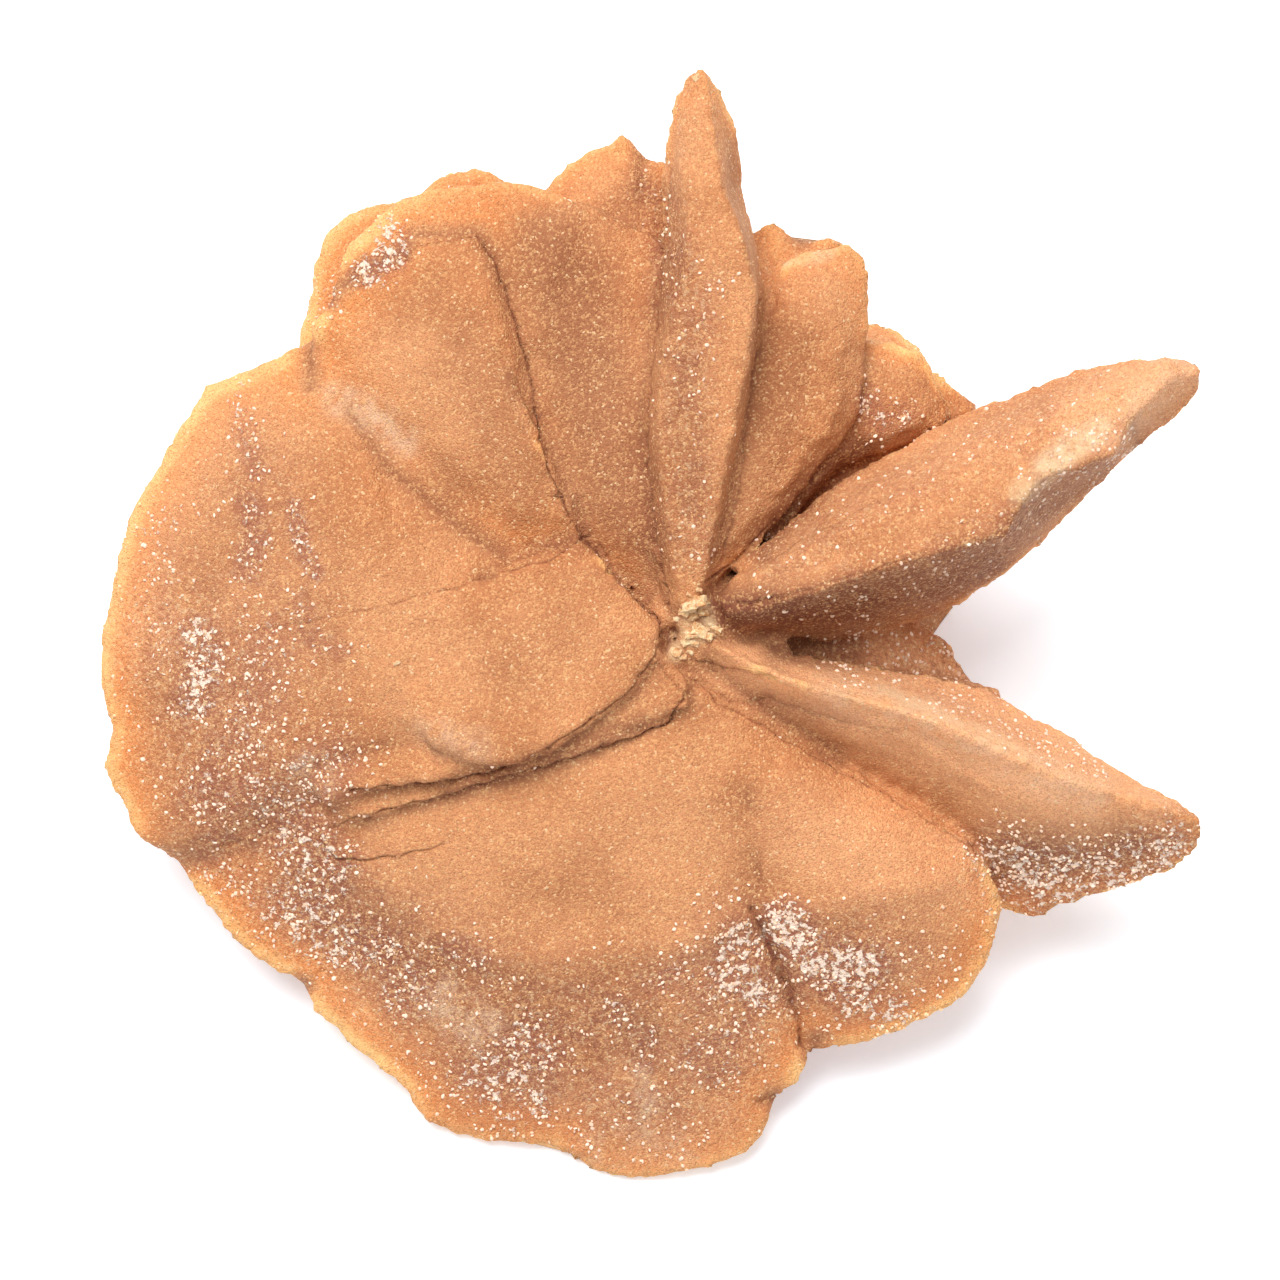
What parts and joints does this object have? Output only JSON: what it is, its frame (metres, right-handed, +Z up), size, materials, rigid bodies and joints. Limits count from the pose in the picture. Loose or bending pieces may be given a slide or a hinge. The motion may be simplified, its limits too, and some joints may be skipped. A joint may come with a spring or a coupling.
{
  "type": "gypsum sand rose",
  "caption": "Desert rose: lens-shaped blades of sandy gypsum grown through each other into one rosette, standing on trimmed feet.",
  "frame": {"origin": "middle of the footprint, on the surface that the rose stands on", "axes": "+Z up; the rosette's face looks up and towards -Y; the two long side blades point to +X"},
  "size_m": [0.0788, 0.075, 0.0375],
  "materials": {
    "sandy_gypsum": "dull orange-brown gypsum full of fine sand, with glowing thin rims and white crystal grains in patches"
  },
  "bodies": {
    "root": {"sand_rose": "sandy_gypsum"}
  },
  "joints": []
}
